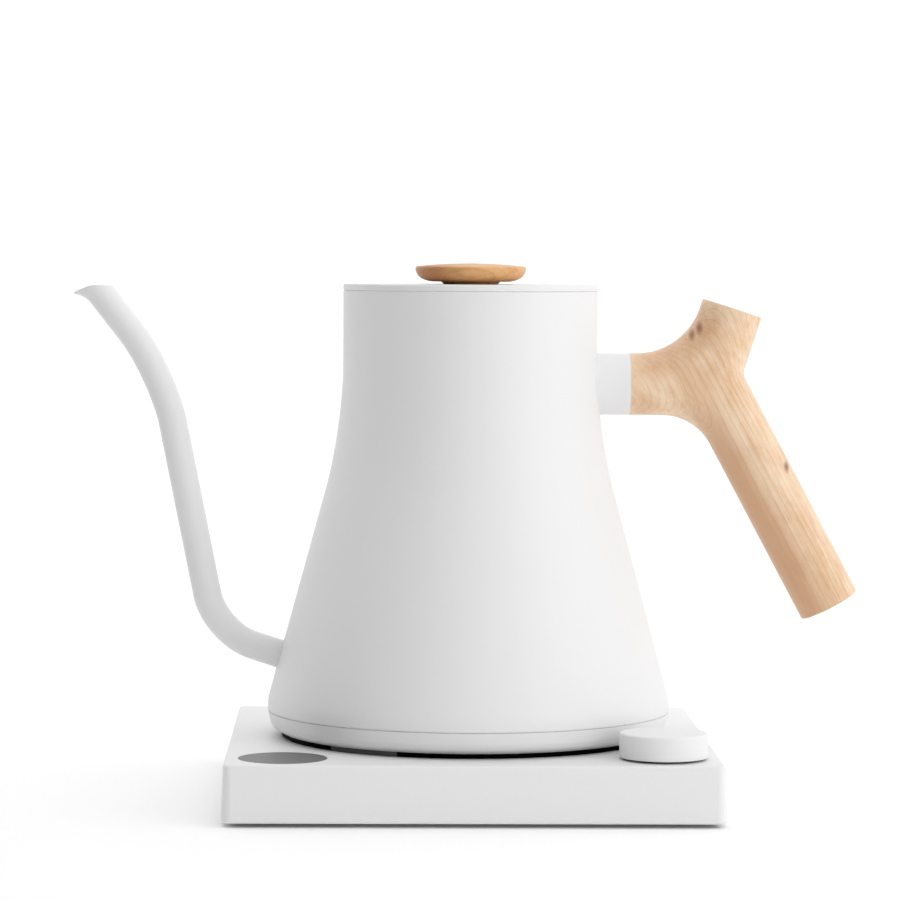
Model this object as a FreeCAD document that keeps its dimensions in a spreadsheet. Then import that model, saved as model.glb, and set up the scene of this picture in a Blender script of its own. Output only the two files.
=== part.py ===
import FreeCAD, Part
import math
import os

import Sketcher

# Electric gooseneck kettle on a square powered base, in millimetres.
# Origin: centre of the base on the surface it stands on. Z is up and is the kettle's axis,
# the spout points to -X, the handle to +X, and the dial and display are at the front, -Y.

# ---------------------------------------------------------------- driving dimensions
SIZES = {
    # kettle body: a cone under a long straight neck
    "shoulder_radius": 74,
    "neck_radius": 46.75,
    "seam_height": 31.5,
    "shoulder_height": 35.2,
    "neck_length": 49.9,
    "neck_blend": 170,
    "shoulder_blend": 12,
    "rim_height": 185.7,
    "wall": 0.8,
    "mouth_lip": 4.4,
    # bottom of the kettle
    "band_foot_inset": 5.2,
    "band_foot_height": 23.5,
    "seam_gap": 0.3,
    "seam_depth": 0.5,
    "band_edge": 0.2,
    "floor_height": 46,
    "floor_thickness": 1,
    "floor_skirt": 6,
    "spreader_gap": 1.5,
    "spreader_thickness": 4,
    "element_radius": 42,
    "element_sheath_radius": 3.2,
    "element_sweep": 320,
    "element_leg": 4,
    "element_leg_step": 0.8,
    "sensor_radius": 3,
    "sensor_offset": 31,
    "sensor_above_floor": 8,
    "sensor_flange": 2,
    "sensor_flange_height": 1.6,
    "sensor_tail": 4,
    "cutout_radius": 6.5,
    "cutout_thickness": 6,
    "cutout_step": 1.5,
    "cutout_base": 3,
    "floor_stud_inset": 7.8,
    "floor_stud_radius": 3.5,
    "cover_thickness": 2,
    "cover_foot_width": 4,
    "cover_rim": 2.2,
    "cover_edge": 0.4,
    "cover_screw_length": 10,
    # round cordless connector
    "boss_radius": 18.5,
    "boss_rise": 8.5,
    "boss_clearance": 0.8,
    "cup_wall": 3.5,
    "cup_roof": 4,
    "ring_roof": 1.5,
    "pin_radius": 3,
    "pin_reach": 7.5,
    "pin_head_radius": 6,
    "pin_head_thickness": 2,
    "pin_flat": 0.5,
    "ring_radius": 11.9,
    "ring_thickness": 0.9,
    "socket_flange_radius": 25,
    "socket_flange_thickness": 3,
    "socket_skirt": 2,
    "socket_web": 0.4,
    "socket_edge": 1,
    "socket_pin_room": 2.4,
    "slot_room_inside": 0.8,
    "slot_room_outside": 1.6,
    "sleeve_gap": 0.4,
    "strip_gap": 0.5,
    # spout
    "spout_radius": 5.2,
    "spout_bore": 4.4,
    "spout_root_height": 51.5,
    "spout_knee_reach": 24,
    "spout_knee_rise": 7.8,
    "spout_lean": 19.3,
    "spout_tip_reach": 25.1,
    "spout_tip_rise": 32.2,
    "spout_over_rim": 1.4,
    "spout_knee_bend": 25,
    "spout_tip_bend": 83,
    # handle
    "collar_radius": 11.3,
    "collar_drop": 34.1,
    "collar_reach": 11.9,
    "collar_overlap": 10,
    "arm_radius": 11.4,
    "arm_straight": 2.4,
    "junction_rise": 2.9,
    "stub_lean": 18,
    "stub_straight": 3.4,
    "stub_web_bend": 36,
    "stem_lean": 28.2,
    "stem_length": 95.4,
    "stem_web_bend": 31.6,
    "crotch_bend": 15.8,
    "stud_radius": 4,
    "stud_depth": 19,
    "stud_start": 2,
    "seat_relief": 2,
    "insert_wall": 2,
    "insert_length": 15,
    # lid
    "lid_thickness": 2.35,
    "lid_edge": 0.5,
    "liner_depth": 12,
    "liner_wall": 0.8,
    "liner_corner": 1.5,
    "seal_thickness": 1.6,
    "seal_height": 4,
    "seal_gap": 0.4,
    "seal_drop": 0.3,
    "seal_bevel": 0.4,
    "knob_radius": 20.35,
    "knob_thickness": 6.75,
    "knob_dome": 1.2,
    "knob_edge": 0.5,
    "insert_top": 4.2,
    "insert_head_room": 0.4,
    "knob_screw_reach": 3.8,
    "spacer_radius": 10.5,
    "spacer_height": 1,
    "vent_radius": 1.5,
    "vent_offset": 32,
    # base
    "base_height": 20.25,
    "base_taper": 2,
    "base_wall": 2.4,
    "base_corner": 3.6,
    "base_edge": 1,
    "plate_thickness": 3,
    "foot_height": 1.5,
    "foot_radius": 6,
    "foot_recess": 1.2,
    "foot_inset": 17,
    "post_radius": 4,
    "post_inset": 12.5,
    "post_offset": 28,
    "post_hole_depth": 10,
    "display_radius": 15.7,
    "display_thickness": 1.2,
    "display_ledge": 1.6,
    "panel_margin": 3,
    "panel_aspect": 0.75,
    "board_thickness": 1.6,
    "board_lift": 3,
    "board_gap": 1,
    "standoff_radius": 3,
    "standoff_inset": 5,
    "control_board_depth": 34,
    "power_board_width": 90,
    "power_board_depth": 36,
    "relay_half_length": 9,
    "relay_half_width": 6,
    "relay_height": 9,
    "relay_offset": 28,
    "transformer_half": 9,
    "transformer_height": 9.5,
    "transformer_offset": 2,
    "capacitor_radius": 4,
    "capacitor_height": 8,
    "capacitor_offset": 24,
    "capacitor_spread": 7,
    "gland_radius": 5.5,
    "cord_radius": 3.2,
    "gland_depth": 9,
    "gland_flange": 1,
    # dial
    "dial_radius": 15.6,
    "dial_height": 8.5,
    "dial_wall": 2,
    "dial_float": 0.9,
    "dial_gap": 5.2,
    "dial_margin": 5.45,
    "dial_edge": 0.8,
    "dial_travel": 0.5,
    "travel_spare": 0.2,
    "shaft_radius": 3,
    "bushing_radius": 4.5,
    "nut_across_flats": 12,
    "nut_thickness": 2,
    "bushing_above_nut": 0.6,
    "hub_gap": 0.5,
    "hub_wall": 3,
    "encoder_width": 13,
    "encoder_height": 6.5,
    "encoder_floor": 1,
    "plunger_inset": 0.4,
    "plunger_thickness": 1,
    # fasteners
    "screw_radius": 1.5,
    "screw_head_radius": 2.8,
    "screw_head_height": 1.2,
    "screw_head_recess": 1.8,
    "base_screw_length": 9,
    # clearances
    "running_clearance": 0.05,
    "fit_gap": 0.1,
    "hole_gap": 0.2,
    "overrun": 12,
    "trim_size": 60,
}

doc = FreeCAD.newDocument("Kettle")
sheet = doc.addObject("Spreadsheet::Sheet", "Sizes")
for row, (alias, number) in enumerate(SIZES.items(), start=1):
    sheet.set(f"A{row}", str(number))
    sheet.setAlias(f"A{row}", alias)
doc.recompute()


class Size:
    """A number that keeps the formula it comes from, so that a property can be bound to it."""

    def __init__(self, value, formula=None):
        self.value = float(value)
        self.formula = formula or f"({float(value)!r})"

    def __add__(self, other):
        other = sized(other)
        return Size(self.value + other.value, f"({self.formula} + {other.formula})")

    def __sub__(self, other):
        other = sized(other)
        return Size(self.value - other.value, f"({self.formula} - {other.formula})")

    def __mul__(self, other):
        other = sized(other)
        return Size(self.value * other.value, f"({self.formula} * {other.formula})")

    def __truediv__(self, other):
        other = sized(other)
        return Size(self.value / other.value, f"({self.formula} / {other.formula})")

    def __radd__(self, other):
        return sized(other) + self

    def __rsub__(self, other):
        return sized(other) - self

    def __rmul__(self, other):
        return sized(other) * self

    def __neg__(self):
        return Size(-self.value, f"(-{self.formula})")


def sized(number):
    return number if isinstance(number, Size) else Size(number)


def sine(angle):
    return Size(math.sin(math.radians(angle.value)), f"sin({angle.formula})")


def cosine(angle):
    return Size(math.cos(math.radians(angle.value)), f"cos({angle.formula})")


def tangent(angle):
    return Size(math.tan(math.radians(angle.value)), f"tan({angle.formula})")


def arctangent(ratio):
    """The angle in degrees whose tangent is the ratio."""
    return Size(math.degrees(math.atan(ratio.value)), f"(atan({ratio.formula}) / 1deg)")


def square_root(number):
    return Size(math.sqrt(number.value), f"sqrt({number.formula})")


class Sheet:
    """The driving dimensions by name, each read back from its cell."""


S = Sheet()
for alias in SIZES:
    setattr(S, alias, Size(getattr(sheet, alias), f"Sizes.{alias}"))


# ---------------------------------------------------------------- heights and places that follow
BASE_TOP = S.foot_height + S.base_height
CEILING = BASE_TOP - S.base_wall
PLATE_TOP = S.foot_height + S.plate_thickness
CONTROL_OFFSET = (S.shoulder_radius + S.dial_gap + S.dial_radius) * math.sqrt(0.5)
BASE_HALF = CONTROL_OFFSET + S.dial_radius + S.dial_margin
INNER_HALF = BASE_HALF - S.base_wall - S.base_height * tangent(S.base_taper)
BOARD_BOTTOM = PLATE_TOP + S.board_lift
BOARD_TOP = BOARD_BOTTOM + S.board_thickness

NECK_CORNER = S.rim_height - S.neck_length
CONE_SLOPE = (S.shoulder_radius - S.neck_radius) / (NECK_CORNER - S.shoulder_height)
CONE_LEAN = arctangent(CONE_SLOPE)
HALF_LEAN = CONE_LEAN / 2
WALL_ACROSS = S.wall / cosine(CONE_LEAN)
BAND_FOOT = S.shoulder_radius - S.band_foot_inset
STUD_CIRCLE = BAND_FOOT - S.floor_stud_inset
SPREADER_RADIUS = STUD_CIRCLE - S.floor_stud_radius - S.spreader_gap
FLOOR_UNDER = S.floor_height - S.floor_thickness
SPREADER_UNDER = FLOOR_UNDER - S.spreader_thickness

BOSS_TOP = BASE_TOP + S.boss_rise
CUP_RADIUS = S.boss_radius + S.boss_clearance
CUP_CEILING = BOSS_TOP + S.boss_clearance
CUP_TOP = CUP_CEILING + S.cup_roof
COVER_TOP = S.band_foot_height + S.cover_thickness
PIN_TIP = CUP_CEILING - S.pin_reach
RING_INNER = S.ring_radius - S.ring_thickness

HANDLE_HEIGHT = S.rim_height - S.collar_drop
COLLAR_END = S.neck_radius + S.collar_reach
LID_TOP = S.rim_height + S.lid_thickness
MOUTH_RADIUS = S.neck_radius - S.mouth_lip
KNOB_UNDER = LID_TOP + S.spacer_height
KNOB_TOP = KNOB_UNDER + S.knob_thickness


def cone_radius(height):
    """Outer radius of the body's straight cone at a height."""
    return S.shoulder_radius - (height - S.shoulder_height) * CONE_SLOPE


def inside_cone(height):
    return cone_radius(height) - WALL_ACROSS


# ---------------------------------------------------------------- sketches and features
def bind(thing, prop, size):
    """Set a property from a size, and keep it tied to the sheet."""
    thing.setExpression(prop, sized(size).formula)


def origin_plane(body, role):
    return next(feature for feature in body.Origin.OriginFeatures if feature.Role == role)


def new_body(label):
    body = doc.addObject("PartDesign::Body", label)
    body.Label = label
    body.AllowCompound = True
    return body


def new_sketch(body, name, role="XY_Plane", height=None):
    sketch = body.newObject("Sketcher::SketchObject", name)
    sketch.AttachmentSupport = [(origin_plane(body, role), "")]
    sketch.MapMode = "FlatFace"
    if height is not None:
        bind(sketch, "AttachmentOffset.Base.z", height)
    return sketch


def pin_point(sketch, edge, end, across, up):
    """Hold one end of an edge at a place in the sketch."""
    for kind, size, axis in (("DistanceX", sized(across), -2), ("DistanceY", sized(up), -1)):
        if size.value == 0:
            sketch.addConstraint(Sketcher.Constraint("PointOnObject", edge, end, axis))
        else:
            held = sketch.addConstraint(Sketcher.Constraint(kind, -1, 1, edge, end, size.value))
            bind(sketch, f"Constraints[{held}]", size)


def arc_between(start, end, radius, left):
    """The short arc from start to end, with its centre to the left or right of the way."""
    chord = end - start
    half = chord.Length / 2
    side = FreeCAD.Vector(-chord.y, chord.x, 0).normalize() * (1 if left else -1)
    centre = (start + end) / 2 + side * math.sqrt(max(radius * radius - half * half, 0))
    circle = Part.Circle(centre, FreeCAD.Vector(0, 0, 1), radius)
    first, last = (start, end) if left else (end, start)
    angles = [math.atan2(point.y - centre.y, point.x - centre.x) for point in (first, last)]
    return Part.ArcOfCircle(circle, angles[0], angles[1])


def draw_outline(sketch, corners, closed=True):
    """Join corners with lines. A corner is (across, up), or (across, up, radius, side) where an
    arc leads to it with its centre on the "left" or "right" of the way."""
    places = [FreeCAD.Vector(sized(c[0]).value, sized(c[1]).value, 0) for c in corners]
    count = len(corners)
    offset = sketch.GeometryCount
    ends = []
    for index in range(count if closed else count - 1):
        after = (index + 1) % count
        corner = corners[after]
        edge = offset + index
        if len(corner) == 4:
            left = corner[3] == "left"
            radius = sized(corner[2])
            sketch.addGeometry(arc_between(places[index], places[after], radius.value, left), False)
            held = sketch.addConstraint(Sketcher.Constraint("Radius", edge, radius.value))
            bind(sketch, f"Constraints[{held}]", radius)
            ends.append((1, 2) if left else (2, 1))
        else:
            sketch.addGeometry(Part.LineSegment(places[index], places[after]), False)
            ends.append((1, 2))
    for index, corner in enumerate(corners):
        before = (index - 1) % count
        if index < len(ends):
            pin_point(sketch, offset + index, ends[index][0], corner[0], corner[1])
            if closed or index > 0:
                link = (offset + before, ends[before][1], offset + index, ends[index][0])
                sketch.addConstraint(Sketcher.Constraint("Coincident", *link))
        else:
            pin_point(sketch, offset + before, ends[before][1], corner[0], corner[1])


def rounded_rectangle(half_width, half_depth, corner, middle=(0, 0)):
    x, y = sized(middle[0]), sized(middle[1])
    flat_x = half_width - corner
    flat_y = half_depth - corner
    return [
        (x - flat_x, y - half_depth),
        (x + flat_x, y - half_depth),
        (x + half_width, y - flat_y, corner, "left"),
        (x + half_width, y + flat_y),
        (x + flat_x, y + half_depth, corner, "left"),
        (x - flat_x, y + half_depth),
        (x - half_width, y + flat_y, corner, "left"),
        (x - half_width, y - flat_y),
        (x - flat_x, y - half_depth, corner, "left"),
    ][1:]


def rectangle(half_width, half_depth, middle=(0, 0)):
    x, y = sized(middle[0]), sized(middle[1])
    return [(x + sx * half_width, y + sy * half_depth)
            for sx, sy in ((-1, -1), (1, -1), (1, 1), (-1, 1))]


def draw_circles(sketch, centres, radius):
    for across, up in centres:
        place = FreeCAD.Vector(sized(across).value, sized(up).value, 0)
        circle = Part.Circle(place, FreeCAD.Vector(0, 0, 1), sized(radius).value)
        edge = sketch.addGeometry(circle, False)
        held = sketch.addConstraint(Sketcher.Constraint("Radius", edge, sized(radius).value))
        bind(sketch, f"Constraints[{held}]", radius)
        pin_point(sketch, edge, 3, across, up)


def extrude(body, name, kind, height, length, outlines=(), circles=()):
    """Pad upwards from a height, or pocket upwards from it, over a length."""
    sketch = new_sketch(body, name + "_outline", "XY_Plane", height)
    for corners in outlines:
        draw_outline(sketch, corners)
    for centres, radius in circles:
        draw_circles(sketch, centres, radius)
    doc.recompute()
    before = body.Shape.Volume if body.Tip else 0
    feature = body.newObject("PartDesign::" + kind, name)
    feature.Profile = sketch
    bind(feature, "Length", length)
    feature.Reversed = kind == "Pocket"
    doc.recompute()
    change = body.Shape.Volume - before
    if change * (1 if kind == "Pad" else -1) <= 0:
        raise RuntimeError(f"{body.Label}: {name} changes nothing")
    return feature


def pad(body, name, height, length, outlines=(), circles=()):
    return extrude(body, name, "Pad", height, length, outlines, circles)


def pocket(body, name, height, length, outlines=(), circles=()):
    return extrude(body, name, "Pocket", height, length, outlines, circles)


def turned(label, *outlines, angle=360):
    """A lathe-turned piece: outlines of (radius, height) corners spun about Z."""
    body = new_body(label)
    sketch = new_sketch(body, label + "_outline", "XZ_Plane")
    for corners in outlines:
        draw_outline(sketch, corners)
    doc.recompute()
    spin = body.newObject("PartDesign::Revolution", label + "_spin")
    spin.Profile = sketch
    spin.ReferenceAxis = (sketch, ["V_Axis"])
    spin.Angle = angle
    doc.recompute()
    return body


def ring(inner, outer, bottom, top):
    return [(inner, bottom), (outer, bottom), (outer, top), (inner, top)]


def move_to(thing, across, along, up=0):
    for prop, size in (("x", across), ("y", along), ("z", up)):
        bind(thing, f"Placement.Base.{prop}", size)
    doc.recompute()


def around(radius, count, first=0):
    """Places spaced evenly round a circle."""
    angles = [math.radians(first + 360 * index / count) for index in range(count)]
    return [(radius * math.cos(angle), radius * math.sin(angle)) for angle in angles]


def four_corners(across, along):
    return [(across, along), (-across, along), (-across, -along), (across, -along)]


# ---------------------------------------------------------------- booleans of primitives
def cylinder(name, radius, length, base=(0, 0, 0), axis="Z"):
    rod = doc.addObject("Part::Cylinder", name)
    bind(rod, "Radius", radius)
    bind(rod, "Height", length)
    turns = {"X": FreeCAD.Rotation(FreeCAD.Vector(0, 1, 0), 90),
             "Y": FreeCAD.Rotation(FreeCAD.Vector(1, 0, 0), -90),
             "Z": FreeCAD.Rotation()}
    rod.Placement = FreeCAD.Placement(FreeCAD.Vector(), turns[axis])
    for prop, size in zip("xyz", base):
        bind(rod, f"Placement.Base.{prop}", size)
    return rod


def cut(label, base, tool):
    result = doc.addObject("Part::Cut", label)
    result.Label = label
    result.Base = base
    result.Tool = tool
    doc.recompute()
    return result


def fuse(label, pieces):
    result = doc.addObject("Part::MultiFuse", label)
    result.Label = label
    result.Shapes = pieces
    result.Refine = True
    doc.recompute()
    return result


def path_sketch(name, corners, bends):
    """An open route in the XZ plane: corners joined by lines, each inner corner rounded."""
    body = new_body(name)
    sketch = new_sketch(body, name + "_route", "XZ_Plane")
    route = [corners[0]]
    for index, bend in enumerate(bends, start=1):
        before, corner, after = corners[index - 1], corners[index], corners[index + 1]
        towards = unit(corner, before)
        onwards = unit(corner, after)
        # half the corner's inner angle from its cosine, then the tangent length of the bend
        inner = towards[0] * onwards[0] + towards[1] * onwards[1]
        reach = bend * square_root((1 + inner) / (1 - inner))
        turn = towards[0].value * onwards[1].value - towards[1].value * onwards[0].value
        side = "left" if turn < 0 else "right"
        route.append((corner[0] + towards[0] * reach, corner[1] + towards[1] * reach))
        route.append((corner[0] + onwards[0] * reach, corner[1] + onwards[1] * reach, bend, side))
    route.append(corners[-1])
    draw_outline(sketch, route, closed=False)
    doc.recompute()
    return sketch


def unit(start, end):
    across = end[0] - start[0]
    up = end[1] - start[1]
    length = square_root(across * across + up * up)
    return (across / length, up / length)


def tube_along(name, sketch, corners, radius):
    """A round bar swept along a route that starts at the first corner."""
    direction = unit(corners[0], corners[1])
    section = doc.addObject("Part::Circle", name + "_section")
    bind(section, "Radius", radius)
    heading = FreeCAD.Vector(direction[0].value, 0, direction[1].value)
    section.Placement = FreeCAD.Placement(
        FreeCAD.Vector(), FreeCAD.Rotation(FreeCAD.Vector(0, 0, 1), heading))
    bind(section, "Placement.Base.x", corners[0][0])
    bind(section, "Placement.Base.z", corners[0][1])
    sweep = doc.addObject("Part::Sweep", name)
    sweep.Sections = [section]
    sweep.Spine = (sketch, [f"Edge{index + 1}" for index in range(len(sketch.Shape.Edges))])
    sweep.Solid = True
    sweep.Frenet = False
    doc.recompute()
    return sweep


# ================================================================ kettle
def body_outline(inset, bottom, top):
    """Corners up the body's wall, from the seam to the neck, an inset in from the outside."""
    across = inset / cosine(CONE_LEAN)
    start = S.shoulder_radius - inset
    neck = S.neck_radius - inset
    # where the inset cone meets the inset neck and the inset shoulder
    shift = (across - inset) / CONE_SLOPE
    shoulder = S.shoulder_height - shift
    corner = NECK_CORNER - shift
    low_bend = S.shoulder_blend - inset
    high_bend = S.neck_blend + inset
    low = low_bend * tangent(HALF_LEAN)
    high = high_bend * tangent(HALF_LEAN)
    return [
        (start, bottom),
        (start, shoulder - low),
        (start - low * sine(CONE_LEAN), shoulder + low * cosine(CONE_LEAN), low_bend, "left"),
        (neck + high * sine(CONE_LEAN), corner - high * cosine(CONE_LEAN)),
        (neck, corner + high, high_bend, "right"),
        (neck, top),
    ]


def make_envelope():
    """The kettle's outside as a filled shape, for trimming what is welded onto it."""
    outline = body_outline(sized(0), S.seam_height, S.rim_height)
    return turned("envelope", [(0, S.seam_height)] + outline + [(0, S.rim_height)])


SPOUT_ROOT = (-cone_radius(S.spout_root_height), S.spout_root_height)
SPOUT_KNEE = (SPOUT_ROOT[0] - S.spout_knee_reach, SPOUT_ROOT[1] + S.spout_knee_rise)
SPOUT_MOUTH_HEIGHT = S.rim_height + S.spout_over_rim
SPOUT_BEND = (SPOUT_KNEE[0] - S.spout_lean, SPOUT_MOUTH_HEIGHT - S.spout_tip_rise)
SPOUT_MOUTH = (SPOUT_BEND[0] - S.spout_tip_reach, SPOUT_MOUTH_HEIGHT)


def beyond(corner, before, length):
    """A point past a corner, in line with the one before it."""
    way = unit(before, corner)
    return (corner[0] + way[0] * length, corner[1] + way[1] * length)


def make_kettle_body():
    outside = body_outline(sized(0), S.seam_height, S.rim_height)
    inside = body_outline(S.wall, S.seam_height, S.rim_height - S.wall)
    lip = [(MOUTH_RADIUS, S.rim_height), (MOUTH_RADIUS, S.rim_height - S.wall)]
    shell = turned("kettle_shell", outside + lip + inside[::-1][:1] + reverse_arcs(inside))
    root = beyond(SPOUT_ROOT, SPOUT_KNEE, S.overrun)
    port_route = path_sketch("spout_port", [root, SPOUT_KNEE], [])
    port = tube_along("spout_port_drill", port_route, [root, SPOUT_KNEE], S.spout_bore)
    return cut("kettle_body", shell, port)


def reverse_arcs(corners):
    """The same outline walked the other way, without its first corner."""
    walked = []
    for index in range(len(corners) - 1, 0, -1):
        here, there = corners[index], corners[index - 1]
        if len(here) == 4:
            side = "left" if here[3] == "right" else "right"
            walked.append((there[0], there[1], here[2], side))
        else:
            walked.append((there[0], there[1]))
    return walked


def make_kettle_floor():
    skirt_foot = S.floor_height - S.floor_skirt
    gap = S.running_clearance
    body = turned("kettle_floor", [
        (0, FLOOR_UNDER),
        (inside_cone(FLOOR_UNDER) - gap - S.floor_thickness, FLOOR_UNDER),
        (inside_cone(skirt_foot) - gap - S.floor_thickness, skirt_foot),
        (inside_cone(skirt_foot) - gap, skirt_foot),
        (inside_cone(S.floor_height) - gap, S.floor_height),
        (0, S.floor_height),
    ])
    studs = around(STUD_CIRCLE, 3, 90)
    stud_foot = COVER_TOP + S.fit_gap
    pad(body, "studs", stud_foot, FLOOR_UNDER - stud_foot, circles=[(studs, S.floor_stud_radius)])
    hole = S.screw_radius + S.running_clearance
    pocket(body, "stud_holes", stud_foot, S.cover_screw_length, circles=[(studs, hole)])
    sensor_hole = S.sensor_radius + S.fit_gap
    pocket(body, "sensor_hole", FLOOR_UNDER, S.floor_thickness,
           circles=[([(S.sensor_offset, 0)], sensor_hole)])
    return body


def make_heat_spreader():
    body = turned("heat_spreader", ring(0, SPREADER_RADIUS, SPREADER_UNDER, FLOOR_UNDER))
    pocket(body, "sensor_hole", SPREADER_UNDER, S.spreader_thickness,
           circles=[([(S.sensor_offset, 0)], S.sensor_radius + S.fit_gap)])
    return body


def make_heating_element():
    sheath = doc.addObject("Part::Torus", "element_ring")
    bind(sheath, "Radius1", S.element_radius)
    bind(sheath, "Radius2", S.element_sheath_radius)
    bind(sheath, "Angle3", S.element_sweep)
    middle = SPREADER_UNDER - S.element_sheath_radius - S.running_clearance
    bind(sheath, "Placement.Base.z", middle)
    pieces = [sheath]
    leg_length = S.element_sheath_radius + S.element_leg
    for name, angle in (("first", sized(0)), ("second", S.element_sweep)):
        # each cold end turns down beside the end of the ring
        inset = S.element_sheath_radius / S.element_radius * (180 / math.pi)
        place = angle + inset if name == "first" else angle - inset
        base = (S.element_radius * cosine(place), S.element_radius * sine(place),
                middle - leg_length)
        leg = cylinder(f"{name}_leg", S.element_sheath_radius - S.element_leg_step, leg_length, base)
        pieces.append(leg)
    element = fuse("heating_element", pieces)
    gap_middle = (360 - S.element_sweep.value) / 2
    element.Placement = FreeCAD.Placement(
        FreeCAD.Vector(), FreeCAD.Rotation(FreeCAD.Vector(0, 0, 1), gap_middle - 90))
    doc.recompute()
    return element


def make_temperature_sensor():
    shank = S.sensor_radius
    top = S.floor_height + S.sensor_above_floor
    nut = S.floor_height + S.sensor_flange_height
    body = turned("temperature_sensor", [
        (0, SPREADER_UNDER - S.sensor_tail),
        (shank, SPREADER_UNDER - S.sensor_tail),
        (shank, S.floor_height),
        (shank + S.sensor_flange, S.floor_height),
        (shank + S.sensor_flange, nut),
        (shank, nut),
        (shank, top - shank),
        (0, top, shank, "left"),
    ])
    move_to(body, S.sensor_offset, 0)
    return body


def make_thermal_cutout():
    under = SPREADER_UNDER - S.cutout_thickness
    body = turned("thermal_cutout", [
        (0, under),
        (S.cutout_radius - S.cutout_step, under),
        (S.cutout_radius - S.cutout_step, under + S.cutout_base),
        (S.cutout_radius, under + S.cutout_base),
        (S.cutout_radius, SPREADER_UNDER),
        (0, SPREADER_UNDER),
    ])
    move_to(body, -S.sensor_offset, 0)
    return body


def make_connector_housing():
    outer = CUP_RADIUS + S.cup_wall
    slot_gap = S.running_clearance
    slot_top = CUP_TOP - S.ring_roof
    pin_hole = S.pin_radius + S.running_clearance
    return turned("connector_housing", [
        (CUP_RADIUS, S.band_foot_height),
        (outer, S.band_foot_height),
        (outer, CUP_TOP),
        (pin_hole, CUP_TOP),
        (pin_hole, CUP_CEILING),
        (RING_INNER - slot_gap, CUP_CEILING),
        (RING_INNER - slot_gap, slot_top),
        (S.ring_radius + slot_gap, slot_top),
        (S.ring_radius + slot_gap, CUP_CEILING),
        (CUP_RADIUS, CUP_CEILING),
    ])


def make_connector_rings():
    return turned("connector_rings", ring(RING_INNER, S.ring_radius, PIN_TIP, CUP_TOP - S.ring_roof))


def make_connector_pin():
    head_under = CUP_TOP + S.running_clearance
    tip = S.pin_radius - S.pin_flat
    return turned("connector_pin", [
        (0, PIN_TIP),
        (S.pin_radius - tip, PIN_TIP),
        (S.pin_radius, PIN_TIP + tip, tip, "left"),
        (S.pin_radius, head_under),
        (S.pin_head_radius, head_under),
        (S.pin_head_radius, head_under + S.pin_head_thickness),
        (0, head_under + S.pin_head_thickness),
    ])


def band_corners(inset):
    """The band's rounded side from its foot up to the seam."""
    foot = BAND_FOOT - inset
    side = S.shoulder_radius - inset
    rise = S.seam_height - S.band_foot_height
    run = S.band_foot_inset
    # an arc that ends upright at the seam
    bend = (rise * rise + run * run) / (2 * run)
    return (foot, side, bend)


def make_bottom_band():
    foot, side, bend = band_corners(sized(0))
    seam = S.seam_height - S.seam_gap
    step = S.wall
    return turned("bottom_band", [
        (foot, S.band_foot_height),
        (side - S.band_edge, seam - S.seam_gap, bend, "left"),
        (side - S.seam_depth, seam),
        (side - S.seam_depth, S.seam_height),
        (side - step, S.seam_height),
        (side - step, seam - S.wall),
        (foot - step, S.band_foot_height, bend, "right"),
    ])


def make_bottom_cover():
    foot_inner = BAND_FOOT - S.cover_foot_width
    housing = CUP_RADIUS + S.cup_wall + S.fit_gap
    rim = BAND_FOOT - S.cover_rim
    body = turned("bottom_cover", [
        (housing, S.band_foot_height),
        (foot_inner, S.band_foot_height),
        (foot_inner, BASE_TOP),
        (BAND_FOOT - S.cover_edge, BASE_TOP),
        (BAND_FOOT, BASE_TOP + S.cover_edge),
        (BAND_FOOT, S.band_foot_height),
        (rim, S.band_foot_height),
        (rim, COVER_TOP),
        (housing, COVER_TOP),
    ])
    studs = around(STUD_CIRCLE, 3, 90)
    pocket(body, "screw_holes", S.band_foot_height, S.cover_thickness,
           circles=[(studs, S.screw_radius + S.hole_gap)])
    return body


def make_bottom_cover_screws():
    body = new_body("bottom_cover_screws")
    studs = around(STUD_CIRCLE, 3, 90)
    under = S.band_foot_height - S.screw_head_height
    pad(body, "heads", under, S.screw_head_height, circles=[(studs, S.screw_head_radius)])
    pad(body, "shanks", S.band_foot_height, S.cover_screw_length, circles=[(studs, S.screw_radius)])
    return body


def make_spout(envelope):
    root = beyond(SPOUT_ROOT, SPOUT_KNEE, S.overrun)
    tip = beyond(SPOUT_MOUTH, SPOUT_BEND, S.overrun)
    corners = [root, SPOUT_KNEE, SPOUT_BEND, tip]
    route = path_sketch("spout_run", corners, [S.spout_knee_bend, S.spout_tip_bend])
    outside = tube_along("spout_outside", route, corners, S.spout_radius)
    inside = tube_along("spout_inside", route, corners, S.spout_bore)
    hollow = cut("spout_hollow", outside, inside)
    untrimmed = cut("spout_untrimmed", hollow, envelope)
    waste = doc.addObject("Part::Box", "mouth_trim")
    bind(waste, "Length", S.trim_size)
    bind(waste, "Width", S.trim_size)
    bind(waste, "Height", S.trim_size / 2)
    bind(waste, "Placement.Base.x", SPOUT_MOUTH[0] - S.trim_size / 2)
    bind(waste, "Placement.Base.y", -S.trim_size / 2)
    bind(waste, "Placement.Base.z", SPOUT_MOUTH_HEIGHT)
    return cut("spout", untrimmed, waste)


def make_handle_collar(envelope):
    start = S.neck_radius - S.collar_overlap
    rod = cylinder("collar_rod", S.collar_radius, COLLAR_END - start, (start, 0, HANDLE_HEIGHT), "X")
    bore = cylinder("collar_bore", S.stud_radius + S.running_clearance, COLLAR_END,
                    (start, 0, HANDLE_HEIGHT), "X")
    return cut("handle_collar", cut("collar_tube", rod, bore), envelope)


def make_handle_stud():
    start = S.neck_radius + S.stud_start
    length = COLLAR_END + S.stud_depth - start
    rod = cylinder("handle_stud", S.stud_radius, length, (start, 0, HANDLE_HEIGHT), "X")
    rod.Label = "handle_stud"
    doc.recompute()
    return rod


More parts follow.
